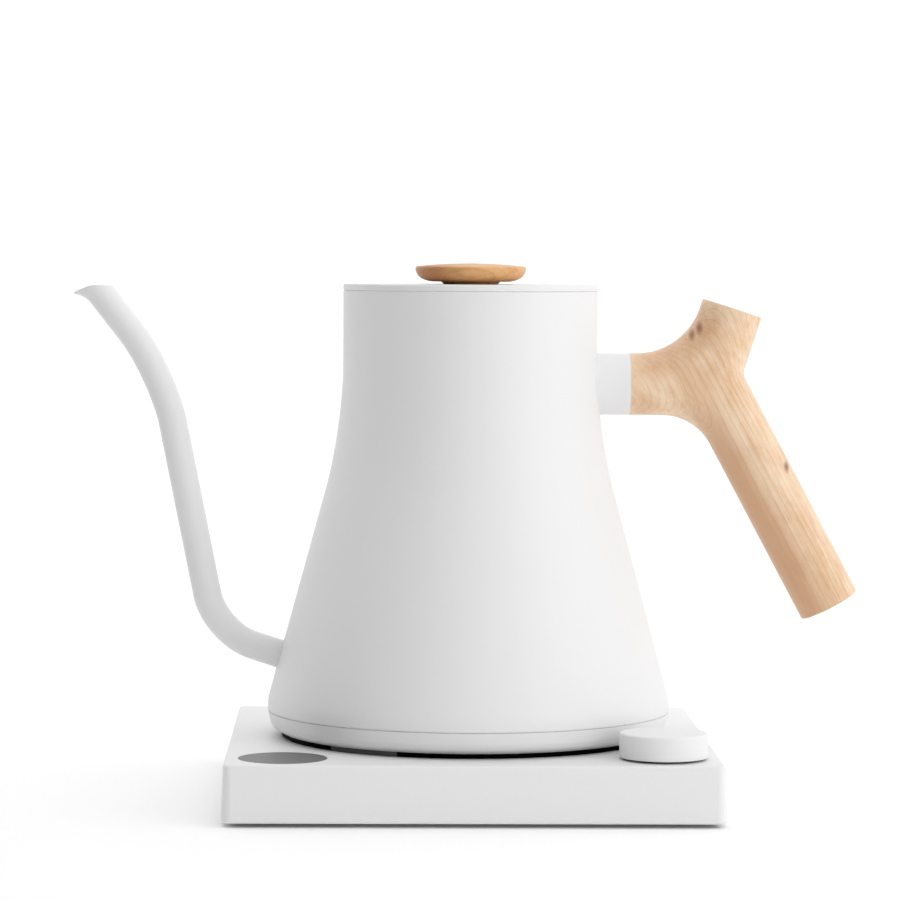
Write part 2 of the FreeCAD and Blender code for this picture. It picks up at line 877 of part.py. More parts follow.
def make_handle_insert():
    outside = cylinder("insert_outside", S.stud_radius + S.insert_wall, S.insert_length,
                       (COLLAR_END, 0, HANDLE_HEIGHT), "X")
    inside = cylinder("insert_bore", S.stud_radius + S.running_clearance, S.insert_length,
                      (COLLAR_END, 0, HANDLE_HEIGHT), "X")
    return cut("handle_insert", outside, inside)


def rounded_route(corners, bend):
    """Three corners in the XZ plane, as two straight edges and the arc that rounds the middle."""
    first, corner, last = [FreeCAD.Vector(c[0].value, 0, c[1].value) for c in corners]
    towards = (first - corner).normalize()
    onwards = (last - corner).normalize()
    half_turn = (math.pi - towards.getAngle(onwards)) / 2
    reach = bend.value * math.tan(half_turn)
    inward = (towards + onwards).normalize()
    centre = corner + inward * (bend.value / math.cos(half_turn))
    start = corner + towards * reach
    end = corner + onwards * reach
    arc = Part.Arc(start, centre - inward * bend.value, end).toShape()
    return [Part.LineSegment(first, start).toShape(), arc, Part.LineSegment(end, last).toShape()]


def round_bar(edges, radius):
    """A solid bar of one radius along the edges of a route."""
    start = edges[0].valueAt(edges[0].FirstParameter)
    heading = edges[0].tangentAt(edges[0].FirstParameter)
    section = Part.Wire([Part.Circle(start, heading, radius.value).toShape()])
    return Part.Wire(edges).makePipeShell([section], True, False)


def cheek_between(arcs, half_thickness):
    """The curved triangle between three centre lines, thickened both ways in Y."""
    to_stub, to_stem, crotch = arcs
    links = [
        Part.LineSegment(to_stub.Vertexes[-1].Point, crotch.Vertexes[0].Point).toShape(),
        Part.LineSegment(crotch.Vertexes[-1].Point, to_stem.Vertexes[-1].Point).toShape(),
        Part.LineSegment(to_stem.Vertexes[0].Point, to_stub.Vertexes[0].Point).toShape(),
    ]
    outline = Part.Wire([to_stub, links[0], crotch, links[1], to_stem, links[2]])
    slab = Part.Face(outline).extrude(FreeCAD.Vector(0, 2 * half_thickness, 0))
    slab.translate(FreeCAD.Vector(0, -half_thickness, 0))
    return slab


def make_handle():
    """Three round arms that meet in smooth webs, with a flat cheek where they join. The webs are
    tangent to each other all round, which the boolean features can't join, so the shape is made
    here from the sheet's values."""
    neck = (COLLAR_END, HANDLE_HEIGHT)
    web_reach = S.stub_web_bend * tangent((90 - S.stub_lean) / 2)
    stub_length = web_reach + S.stub_straight
    stub_corner = (COLLAR_END + S.arm_straight + web_reach, HANDLE_HEIGHT)
    junction = (stub_corner[0] + S.junction_rise * tangent(S.stub_lean),
                HANDLE_HEIGHT + S.junction_rise)
    stem_corner = (junction[0] + S.junction_rise * tangent(S.stem_lean), HANDLE_HEIGHT)
    stub = (stub_corner[0] + stub_length * sine(S.stub_lean),
            stub_corner[1] + stub_length * cosine(S.stub_lean))
    stem = (junction[0] + S.stem_length * sine(S.stem_lean),
            junction[1] - S.stem_length * cosine(S.stem_lean))
    routes = [
        rounded_route([neck, stub_corner, stub], S.stub_web_bend),
        rounded_route([neck, stem_corner, stem], S.stem_web_bend),
        rounded_route([stub, junction, stem], S.crotch_bend),
    ]
    to_stub, to_stem, bar = [round_bar(route, S.arm_radius) for route in routes]
    cheek = cheek_between([route[1] for route in routes], S.arm_radius.value - 0.02)
    whole = bar.fuse(to_stem).fuse(to_stub).fuse(cheek)
    seat_radius = S.stud_radius + S.insert_wall + S.fit_gap
    seat_depth = S.stud_depth + S.seat_relief
    seat = Part.makeCylinder(seat_radius.value, seat_depth.value,
                             FreeCAD.Vector(COLLAR_END.value, 0, HANDLE_HEIGHT.value),
                             FreeCAD.Vector(1, 0, 0))
    handle = doc.addObject("Part::Feature", "handle")
    handle.Label = "handle"
    handle.Shape = whole.cut(seat)
    handle.Placement = FreeCAD.Placement()
    return handle


# ================================================================ lid
def make_lid_cap():
    edge = S.lid_edge
    body = turned("lid_cap", [
        (S.screw_radius + S.hole_gap, S.rim_height),
        (S.neck_radius - edge, S.rim_height),
        (S.neck_radius, S.rim_height + edge),
        (S.neck_radius, LID_TOP - edge),
        (S.neck_radius - edge, LID_TOP, edge, "left"),
        (S.screw_radius + S.hole_gap, LID_TOP),
    ])
    pocket(body, "vent", S.rim_height, S.lid_thickness, circles=[([(0, S.vent_offset)], S.vent_radius)])
    return body


def make_lid_liner():
    outer = MOUTH_RADIUS - S.seal_thickness
    corner = S.liner_corner
    low = S.rim_height - S.liner_depth
    hole = S.screw_radius + S.hole_gap
    body = turned("lid_liner", [
        (hole, low),
        (outer - corner, low),
        (outer, low + corner, corner, "left"),
        (outer, S.rim_height),
        (outer - S.liner_wall, S.rim_height),
        (outer - S.liner_wall, low + corner),
        (outer - corner, low + S.liner_wall, corner - S.liner_wall, "right"),
        (hole, low + S.liner_wall),
    ])
    pocket(body, "vent", low, S.liner_wall, circles=[([(0, S.vent_offset)], S.vent_radius)])
    return body


def make_lid_seal():
    inner = MOUTH_RADIUS - S.seal_thickness + S.running_clearance
    outer = MOUTH_RADIUS - S.seal_gap
    top = S.rim_height - S.seal_drop
    return turned("lid_seal", [
        (inner, top - S.seal_height),
        (outer - S.seal_bevel, top - S.seal_height),
        (outer, top - S.seal_height / 2),
        (outer - S.seal_bevel, top),
        (inner, top),
    ])


def make_lid_knob():
    under = S.knob_thickness - S.knob_dome - S.knob_edge
    top_reach = S.knob_radius - S.knob_edge
    dome_radius = (top_reach * top_reach + S.knob_dome * S.knob_dome) / (2 * S.knob_dome)
    seat = S.screw_radius + S.insert_wall + S.fit_gap
    depth = S.insert_top + S.insert_head_room
    return turned("lid_knob", [
        (seat, KNOB_UNDER),
        (S.knob_radius - under, KNOB_UNDER),
        (S.knob_radius, KNOB_UNDER + under, under, "left"),
        (top_reach, KNOB_UNDER + under + S.knob_edge, S.knob_edge, "left"),
        (0, KNOB_TOP, dome_radius, "left"),
        (0, KNOB_UNDER + depth),
        (seat, KNOB_UNDER + depth),
    ])


def make_knob_spacer():
    return turned("knob_spacer", ring(S.screw_radius + S.hole_gap, S.spacer_radius, LID_TOP, KNOB_UNDER))


def make_knob_insert():
    inner = S.screw_radius + S.running_clearance
    top = KNOB_UNDER + S.insert_top
    return turned("knob_insert", ring(inner, S.screw_radius + S.insert_wall, KNOB_UNDER, top))


def make_knob_screw():
    low = S.rim_height - S.liner_depth
    return turned("knob_screw", [
        (0, low - S.screw_head_height),
        (S.screw_head_radius, low - S.screw_head_height),
        (S.screw_head_radius, low),
        (S.screw_radius, low),
        (S.screw_radius, KNOB_UNDER + S.knob_screw_reach),
        (0, KNOB_UNDER + S.knob_screw_reach),
    ])


# ================================================================ base
POST_X = BASE_HALF - S.post_inset
POSTS = four_corners(POST_X, S.post_offset)
FEET = four_corners(BASE_HALF - S.foot_inset, BASE_HALF - S.foot_inset)
DIAL_AT = (CONTROL_OFFSET, -CONTROL_OFFSET)
DISPLAY_AT = (-CONTROL_OFFSET, -CONTROL_OFFSET)
NUT_TOP = BASE_TOP + S.nut_thickness
ENCODER_FLOOR = BOARD_TOP + S.encoder_floor


LEVEL_TOLERANCE = 0.01


def level_edges(feature, height):
    """Names of a feature's edges that lie flat at a height."""
    names = []
    for number, edge in enumerate(feature.Shape.Edges, start=1):
        box = edge.BoundBox
        if max(abs(box.ZMin - height), abs(box.ZMax - height)) < LEVEL_TOLERANCE:
            names.append(f"Edge{number}")
    return names


def make_base_housing():
    body = new_body("base_housing")
    block = pad(body, "block", S.foot_height, S.base_height,
                [rounded_rectangle(BASE_HALF, BASE_HALF, S.base_corner)])
    bind(block, "TaperAngle", -S.base_taper)
    doc.recompute()
    fillet = body.newObject("PartDesign::Fillet", "outer_edges")
    fillet.Base = (block, level_edges(block, BASE_TOP.value) + level_edges(block, S.foot_height.value))
    bind(fillet, "Radius", S.base_edge)
    doc.recompute()
    pocket(body, "cavity", S.foot_height, S.base_height - S.base_wall,
           [rounded_rectangle(INNER_HALF, INNER_HALF, S.base_corner - S.base_wall)])
    pad(body, "posts", PLATE_TOP, CEILING - PLATE_TOP, circles=[(POSTS, S.post_radius)])
    pocket(body, "post_holes", PLATE_TOP, S.post_hole_depth,
           circles=[(POSTS, S.screw_radius + S.running_clearance)])
    pocket(body, "socket_hole", CEILING, S.base_wall,
           circles=[([(0, 0)], S.boss_radius + S.socket_skirt + S.fit_gap)])
    pocket(body, "display_seat", BASE_TOP - S.display_thickness, S.display_thickness,
           circles=[([DISPLAY_AT], S.display_radius + S.fit_gap)])
    pocket(body, "display_hole", CEILING, S.base_wall,
           circles=[([DISPLAY_AT], S.display_radius - S.display_ledge)])
    pocket(body, "dial_hole", CEILING, S.base_wall,
           circles=[([DIAL_AT], S.bushing_radius + S.hole_gap)])
    gland = new_sketch(body, "gland_outline", "XZ_Plane")
    throat = S.gland_radius - S.gland_flange + S.fit_gap
    draw_circles(gland, [(0, S.foot_height + S.base_height / 2)], throat)
    doc.recompute()
    before = body.Shape.Volume
    hole = body.newObject("PartDesign::Pocket", "gland_hole")
    hole.Profile = gland
    hole.Type = "Length"
    hole.Reversed = False
    bind(hole, "Length", BASE_HALF + S.overrun)
    doc.recompute()
    if body.Shape.Volume >= before:
        raise RuntimeError("the gland hole misses the housing")
    return body


def make_base_plate():
    body = new_body("base_plate")
    half = INNER_HALF - S.hole_gap
    pad(body, "plate", S.foot_height, S.plate_thickness,
        [rounded_rectangle(half, half, S.base_corner - S.base_wall - S.hole_gap)])
    pocket(body, "foot_recesses", S.foot_height, S.foot_recess,
           circles=[(FEET, S.foot_radius + S.fit_gap)])
    pocket(body, "screw_recesses", S.foot_height, S.screw_head_recess,
           circles=[(POSTS, S.screw_head_radius + S.hole_gap)])
    pocket(body, "screw_holes", S.foot_height, S.plate_thickness,
           circles=[(POSTS, S.screw_radius + S.hole_gap)])
    return body


def make_base_feet():
    body = new_body("base_feet")
    pad(body, "feet", 0, S.foot_height + S.foot_recess, circles=[(FEET, S.foot_radius)])
    return body


def make_base_screws():
    body = new_body("base_screws")
    seat = S.foot_height + S.screw_head_recess
    pad(body, "heads", seat - S.screw_head_height, S.screw_head_height,
        circles=[(POSTS, S.screw_head_radius)])
    pad(body, "shanks", seat, S.base_screw_length, circles=[(POSTS, S.screw_radius)])
    return body


def make_socket_body():
    flange_under = CEILING - S.socket_flange_thickness
    bore = S.pin_radius + S.socket_pin_room
    slot_inner = RING_INNER - S.slot_room_inside
    slot_outer = S.ring_radius + S.slot_room_outside
    slot_floor = CEILING + S.socket_web
    return turned("socket_body", [
        (0, flange_under),
        (S.socket_flange_radius, flange_under),
        (S.socket_flange_radius, CEILING),
        (S.boss_radius + S.socket_skirt, CEILING),
        (S.boss_radius + S.socket_skirt, BASE_TOP),
        (S.boss_radius, BASE_TOP),
        (S.boss_radius, BOSS_TOP - S.socket_edge),
        (S.boss_radius - S.socket_edge, BOSS_TOP, S.socket_edge, "left"),
        (slot_outer, BOSS_TOP),
        (slot_outer, slot_floor),
        (slot_inner, slot_floor),
        (slot_inner, BOSS_TOP),
        (bore, BOSS_TOP),
        (bore, slot_floor),
        (0, slot_floor),
    ])


def make_socket_contacts():
    low = CEILING + S.socket_web
    top = BOSS_TOP - S.socket_edge
    sleeve_outer = S.pin_radius + S.socket_pin_room - S.running_clearance
    sleeve = ring(S.pin_radius + S.sleeve_gap, sleeve_outer, low, top)
    strip_outer = S.ring_radius + S.slot_room_outside - S.running_clearance
    strip = ring(S.ring_radius + S.strip_gap, strip_outer, low, top)
    return turned("socket_contacts", sleeve, strip)


def make_display_lens():
    low = BASE_TOP - S.display_thickness
    body = turned("display_lens", ring(0, S.display_radius, low, BASE_TOP))
    move_to(body, DISPLAY_AT[0], DISPLAY_AT[1])
    return body


def make_display_panel():
    """The display module, which stands on the control board behind the window."""
    half = S.display_radius - S.display_ledge - S.panel_margin
    body = new_body("display_panel")
    pad(body, "module", BOARD_TOP, CEILING - S.fit_gap - BOARD_TOP, [rectangle(half, half * S.panel_aspect)])
    move_to(body, DISPLAY_AT[0], DISPLAY_AT[1])
    return body


def make_control_board():
    body = new_body("control_board")
    half = INNER_HALF - S.board_gap
    middle = (0, -CONTROL_OFFSET)
    pad(body, "board", BOARD_BOTTOM, S.board_thickness,
        [rectangle(half, S.control_board_depth / 2 - S.board_gap, middle)])
    spots = [(side * CONTROL_OFFSET / 2, -CONTROL_OFFSET) for side in (-1, 1)]
    pad(body, "standoffs", PLATE_TOP, BOARD_BOTTOM - PLATE_TOP, circles=[(spots, S.standoff_radius)])
    return body


def make_power_board():
    body = new_body("power_board")
    middle = (0, CONTROL_OFFSET - S.power_board_depth / 2)
    pad(body, "board", BOARD_BOTTOM, S.board_thickness,
        [rectangle(S.power_board_width / 2, S.power_board_depth / 2, middle)])
    spots = [(side * (S.power_board_width / 2 - S.standoff_inset), middle[1]) for side in (-1, 1)]
    pad(body, "standoffs", PLATE_TOP, BOARD_BOTTOM - PLATE_TOP, circles=[(spots, S.standoff_radius)])
    return body


def make_board_parts():
    """Relay, transformer and two capacitors, standing on the power board."""
    body = new_body("board_parts")
    row = CONTROL_OFFSET - S.power_board_depth / 2
    pad(body, "relay", BOARD_TOP, S.relay_height,
        [rectangle(S.relay_half_length, S.relay_half_width, (-S.relay_offset, row))])
    pad(body, "transformer", BOARD_TOP, S.transformer_height,
        [rectangle(S.transformer_half, S.transformer_half, (S.transformer_offset, row))])
    cans = [(S.capacitor_offset, row + side * S.capacitor_spread) for side in (-1, 1)]
    pad(body, "capacitors", BOARD_TOP, S.capacitor_height, circles=[(cans, S.capacitor_radius)])
    return body


def make_encoder_body():
    half = S.encoder_width / 2
    case_top = BOARD_TOP + S.encoder_height
    bore = S.shaft_radius + S.running_clearance
    body = new_body("encoder_body")
    pad(body, "case", BOARD_TOP, S.encoder_height, [rectangle(half, half)])
    pad(body, "bushing", case_top, NUT_TOP + S.bushing_above_nut - case_top,
        circles=[([(0, 0)], S.bushing_radius)])
    pocket(body, "bore", ENCODER_FLOOR, NUT_TOP + S.overrun - ENCODER_FLOOR,
           circles=[([(0, 0)], bore)])
    move_to(body, DIAL_AT[0], DIAL_AT[1])
    return body


def make_encoder_nut():
    body = new_body("encoder_nut")
    corner = S.nut_across_flats / math.sqrt(3)
    pad(body, "hexagon", BASE_TOP, S.nut_thickness, [around(corner, 6)])
    pocket(body, "bore", BASE_TOP, S.nut_thickness,
           circles=[([(0, 0)], S.bushing_radius + S.running_clearance)])
    move_to(body, DIAL_AT[0], DIAL_AT[1])
    return body


def make_encoder_plunger():
    low = ENCODER_FLOOR + S.dial_travel + S.travel_spare
    radius = S.shaft_radius - S.plunger_inset
    body = turned("encoder_plunger", ring(0, radius, low, low + S.plunger_thickness))
    move_to(body, DIAL_AT[0], DIAL_AT[1])
    return body


SHAFT_LOW = ENCODER_FLOOR + S.dial_travel + S.travel_spare + S.plunger_thickness
DIAL_LOW = BASE_TOP + S.dial_float
DIAL_TOP = DIAL_LOW + S.dial_height
HUB_LOW = NUT_TOP + S.bushing_above_nut + S.dial_travel + S.hub_gap
SHAFT_TOP = DIAL_TOP - S.dial_wall


def make_encoder_shaft():
    body = turned("encoder_shaft", ring(0, S.shaft_radius, SHAFT_LOW, SHAFT_TOP))
    move_to(body, DIAL_AT[0], DIAL_AT[1])
    return body


def make_dial_knob():
    hub = S.shaft_radius + S.hub_wall
    bore = S.shaft_radius + S.running_clearance
    skirt = S.dial_radius - S.dial_wall
    edge = S.dial_edge
    body = turned("dial_knob", [
        (skirt, DIAL_LOW),
        (S.dial_radius, DIAL_LOW),
        (S.dial_radius, DIAL_TOP - edge),
        (S.dial_radius - edge, DIAL_TOP, edge, "left"),
        (0, DIAL_TOP),
        (0, SHAFT_TOP),
        (bore, SHAFT_TOP),
        (bore, HUB_LOW),
        (hub, HUB_LOW),
        (hub, SHAFT_TOP),
        (skirt, SHAFT_TOP),
    ])
    move_to(body, DIAL_AT[0], DIAL_AT[1])
    return body


def make_cord_gland():
    """A grommet in the back wall: a flange on each side and the cord's bore through it."""
    height = S.foot_height + S.base_height / 2
    back = BASE_HALF + S.gland_flange
    throat = S.gland_radius - S.gland_flange
    start = back - S.gland_depth
    sleeve = cylinder("gland_sleeve", throat, S.gland_depth, (0, start, height), "Y")
    lip = cylinder("gland_lip", S.gland_radius, S.gland_flange, (0, BASE_HALF, height), "Y")
    solid = fuse("gland_solid", [sleeve, lip])
    bore = cylinder("gland_bore", S.cord_radius, S.gland_depth, (0, start, height), "Y")
    return cut("cord_gland", solid, bore)


# ================================================================ build, check and write
envelope = make_envelope()
pieces = [
    make_kettle_body(),
    make_kettle_floor(),
    make_heat_spreader(),
    make_heating_element(),
    make_temperature_sensor(),
    make_thermal_cutout(),
    make_connector_housing(),
    make_connector_rings(),
    make_connector_pin(),
    make_bottom_band(),
    make_bottom_cover(),
    make_bottom_cover_screws(),
    make_spout(envelope),
    make_handle_collar(envelope),
    make_handle_stud(),
    make_handle_insert(),
    make_handle(),
    make_lid_cap(),
    make_lid_liner(),
    make_lid_seal(),
    make_lid_knob(),
    make_knob_spacer(),
    make_knob_insert(),
    make_knob_screw(),
    make_base_housing(),
    make_base_plate(),
    make_base_feet(),
    make_base_screws(),
    make_socket_body(),
    make_socket_contacts(),
    make_display_lens(),
    make_display_panel(),
    make_control_board(),
    make_power_board(),
    make_board_parts(),
    make_encoder_body(),
    make_encoder_nut(),
    make_encoder_plunger(),
    make_encoder_shaft(),
    make_dial_knob(),
    make_cord_gland(),
]
doc.recompute()

for thing in doc.Objects:
    if "Invalid" in thing.State or "Error" in thing.State:
        raise RuntimeError(f"{thing.Name} failed: {thing.State}")
for piece in pieces:
    if piece.Shape.isNull() or not piece.Shape.isValid():
        raise RuntimeError(f"{piece.Label} has no valid shape")

os.makedirs("parts", exist_ok=True)
for piece in pieces:
    piece.Shape.exportStep(f"parts/{piece.Label}.step")
    print(f"{piece.Label}: {len(piece.Shape.Solids)} solid(s), {piece.Shape.Volume / 1000:.2f} cm3")
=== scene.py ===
import math

import bmesh
import bpy
from mathutils import Matrix, Vector


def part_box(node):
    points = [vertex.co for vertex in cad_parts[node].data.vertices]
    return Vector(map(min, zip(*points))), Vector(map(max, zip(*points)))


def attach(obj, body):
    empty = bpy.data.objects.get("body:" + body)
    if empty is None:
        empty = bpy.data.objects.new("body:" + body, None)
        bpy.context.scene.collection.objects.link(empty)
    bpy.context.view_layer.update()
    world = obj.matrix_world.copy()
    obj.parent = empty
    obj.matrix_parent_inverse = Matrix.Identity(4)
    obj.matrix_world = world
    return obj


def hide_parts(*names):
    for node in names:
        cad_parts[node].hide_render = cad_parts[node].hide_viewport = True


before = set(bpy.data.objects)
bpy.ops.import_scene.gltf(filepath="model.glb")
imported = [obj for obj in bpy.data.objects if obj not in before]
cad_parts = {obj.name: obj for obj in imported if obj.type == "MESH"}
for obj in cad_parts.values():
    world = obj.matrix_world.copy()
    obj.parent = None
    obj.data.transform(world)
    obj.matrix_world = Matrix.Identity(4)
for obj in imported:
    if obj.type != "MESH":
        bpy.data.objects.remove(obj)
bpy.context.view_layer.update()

# ---------------------------------------------------------------- sizes, in metres
MM = 0.001
STEPS = 160
WELD = 1e-6


def spot(x, y, z):
    """A place given in millimetres."""
    return Vector((x, y, z)) * MM


BODY_LOW, BODY_HIGH = [Vector(corner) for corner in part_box("kettle_body")]
LID_LOW, LID_HIGH = [Vector(corner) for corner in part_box("lid_cap")]
BAND_LOW = Vector(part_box("bottom_band")[0])
COVER_HIGH = Vector(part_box("bottom_cover")[1])
KNOB_LOW, KNOB_HIGH = [Vector(corner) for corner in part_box("lid_knob")]
COLLAR_HIGH = Vector(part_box("handle_collar")[1])
SPOUT_LOW, SPOUT_HIGH = [Vector(corner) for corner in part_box("spout")]

SHOULDER = (BODY_HIGH.x - BODY_LOW.x) / 2
NECK = (LID_HIGH.x - LID_LOW.x) / 2
SEAM = BODY_LOW.z
RIM = BODY_HIGH.z
WALL = 0.8 * MM
MOUTH = NECK - 4.4 * MM
SHOULDER_TURN = 35.2 * MM
SHOULDER_ROUND = 1.6 * MM
NECK_TURN = RIM - 49.9 * MM
NECK_ROUND = 22.7 * MM
VENT_RADIUS = 1.5 * MM
VENT_SETBACK = 32 * MM
CONE_LEAN = math.atan2(SHOULDER - NECK, NECK_TURN - SHOULDER_TURN)

SPOUT_RADIUS = (SPOUT_HIGH.y - SPOUT_LOW.y) / 2
SPOUT_BORE = SPOUT_RADIUS - WALL
SPOUT_ROOT_HEIGHT = 51.5 * MM
SPOUT_ROOT = Vector((-SHOULDER + (SPOUT_ROOT_HEIGHT - SHOULDER_TURN) * math.tan(CONE_LEAN), 0,
                     SPOUT_ROOT_HEIGHT))
SPOUT_TOP = RIM + 1.4 * MM
SPOUT_KNEE = SPOUT_ROOT + spot(-24, 0, 7.8)
SPOUT_BEND = Vector((SPOUT_KNEE.x - 19.3 * MM, 0, SPOUT_TOP - 32.2 * MM))
SPOUT_MOUTH = Vector((SPOUT_BEND.x - 25.1 * MM, 0, SPOUT_TOP))
KNEE_ROUND = 14.7 * MM
BEND_ROUND = 19 * MM
TIP_LEAN = math.atan2(SPOUT_BEND.x - SPOUT_MOUTH.x, SPOUT_MOUTH.z - SPOUT_BEND.z)
LIP_LENGTH = 12 * MM
LIP_REACH, LIP_REACH_DEPTH = 1.1 * MM, 2.4 * MM
LIP_DIP, LIP_DIP_DEPTH = 3.2 * MM, 6 * MM
LIP_PINCH = 0.15

STEM_LEAN = math.radians(28.2)
STUB_LEAN = math.radians(18)
STUB_AXIS = Vector((math.sin(STUB_LEAN), 0, math.cos(STUB_LEAN)))
STEM_AXIS = Vector((math.sin(STEM_LEAN), 0, -math.cos(STEM_LEAN)))
ARM_END = 2.4 * MM
ARM_RIM = 0.45 * MM
COLLAR_END = 2.3 * MM
COLLAR_CLEARANCE = 0.02 * MM


# ---------------------------------------------------------------- materials
class Field:
    """A number or colour that varies over a surface. Arithmetic on fields adds Math nodes."""

    def __init__(self, finish, socket):
        self.finish = finish
        self.socket = socket

    def math(self, operation, *values):
        return self.finish.node("Math", dict(enumerate((self,) + values)), operation=operation)

    def __add__(self, other):
        return self.math("ADD", other)

    def __sub__(self, other):
        return self.math("SUBTRACT", other)

    def __mul__(self, other):
        return self.math("MULTIPLY", other)

    def __pow__(self, other):
        return self.math("POWER", other)

    def __rsub__(self, other):
        return self.finish.node("Math", {0: other, 1: self}, operation="SUBTRACT")


MATERIALS = {}


class Finish:
    """One material: a Principled shader with its constants set, and a way to add any node.

    MATERIALS keeps it under its own name."""

    def __init__(self, name, **constants):
        self.material = MATERIALS[name] = bpy.data.materials.new(name)
        self.material.use_nodes = True
        self.tree = self.material.node_tree
        self.shader = self.tree.nodes["Principled BSDF"]
        for socket, value in constants.items():
            self.shader.inputs[socket.replace("_", " ")].default_value = value

    def node(self, kind, inputs=None, output=0, stops=None, **settings):
        made = self.tree.nodes.new("ShaderNode" + kind)
        for setting, value in settings.items():
            setattr(made, setting, value)
        if stops:
            ramp = made.color_ramp
            while len(ramp.elements) < len(stops):
                ramp.elements.new(0.5)
            for element, (place, colour) in zip(ramp.elements, stops):
                element.position = place
                element.color = (*colour, 1)
        for socket, value in (inputs or {}).items():
            if isinstance(value, Field):
                self.tree.links.new(value.socket, made.inputs[socket])
            else:
                made.inputs[socket].default_value = value
        return Field(self, made.outputs[output])

    def coordinates(self, turn=(0, 0, 0), stretch=(1, 1, 1)):
        """Object coordinates turned first, then stretched along the turned axes."""
        place = self.node("TexCoord", output="Object")
        turned = self.node("Mapping", {"Vector": place, "Rotation": turn})
        return self.node("VectorMath", {0: turned, 1: stretch}, operation="MULTIPLY")

    def noise(self, place, scale, detail=2.0, roughness=0.5):
        sockets = {"Vector": place, "Scale": scale, "Detail": detail, "Roughness": roughness}
        return self.node("TexNoise", sockets)

    def mix(self, factor, first, second):
        """Blend of two colours. The Mix node keeps its colour sockets at places 6, 7 and 2."""
        sockets = {0: factor, 6: colour_of(first), 7: colour_of(second)}
        return self.node("Mix", sockets, output=2, data_type="RGBA")

    def ramp(self, factor, *stops):
        return self.node("ValToRGB", {"Fac": factor}, stops=stops)

    def fade(self, field, start, end):
        """0 up to start, 1 from end on, with a soft rise between."""
        spread = {"Value": field, "From Min": start, "From Max": end}
        return self.node("MapRange", spread, interpolation_type="SMOOTHSTEP")

    def distance(self, centre, stretch=(1, 1, 1)):
        """Distance from a place, in coordinates stretched about that place."""
        offset = self.node("VectorMath", {0: self.coordinates(), 1: centre}, operation="SUBTRACT")
        stretched = self.node("VectorMath", {0: offset, 1: stretch}, operation="MULTIPLY")
        return self.node("VectorMath", {0: stretched}, output="Value", operation="LENGTH")

    def drive(self, socket, field):
        self.tree.links.new(field.socket, self.shader.inputs[socket])

    def bump(self, height, strength, distance):
        sockets = {"Height": height, "Strength": strength, "Distance": distance}
        self.drive("Normal", self.node("Bump", sockets))


def colour_of(value):
    """A field as it is, or a plain colour with its alpha."""
    return value if isinstance(value, Field) else (*value, 1)


FINE_BUMP = 0.05 * MM


def moulded(name, colour, roughness, grain, depth, wear, **constants):
    """Coated or moulded surface: a fine leathery texture, faint mottling and rubbed patches."""
    finish = Finish(name, **constants)
    place = finish.coordinates()
    fine = finish.noise(place, grain * 4, 3, 0.6)
    pebble = finish.node("TexVoronoi", {"Vector": place, "Scale": grain * 2.2}, feature="SMOOTH_F1")
    broad = finish.noise(place, grain / 45, 4, 0.55)
    darker = tuple(channel * (1 - wear) for channel in colour)
    finish.drive("Base Color", finish.mix(broad, darker, colour))
    finish.drive("Roughness", broad * 0.10 + fine * 0.08 + (roughness - 0.09))
    finish.bump(fine * 0.5 + pebble * 0.5, depth, FINE_BUMP)


def brushed(name, colour, roughness):
    """Bright metal with fine brush lines round the vertical axis."""
    finish = Finish(name, Metallic=1.0)
    lines = finish.noise(finish.coordinates(stretch=(60, 60, 3000)), 1, 3, 0.65)
    stains = finish.noise(finish.coordinates(), 35, 4, 0.6)
    darker = tuple(channel * 0.86 for channel in colour)
    finish.drive("Base Color", finish.mix(stains * 0.6 + lines * 0.4, darker, colour))
    finish.drive("Roughness", lines * 0.18 + stains * 0.08 + (roughness - 0.13))
    finish.bump(lines, 0.10, 0.03 * MM)


RING_SPACING = 1.9 * MM
FAINT_RING_SPACING = 0.62 * MM
LAYER_TILT = math.radians(48)
# the strip of painted shade on the handle grows fainter between these two heights
PAINTED_SHADE_FADES = 60 * MM, 96 * MM


def shade_of(colour, red, green, blue):
    """A colour with each channel scaled by its own part."""
    return tuple(channel * part for channel, part in zip(colour, (red, green, blue)))


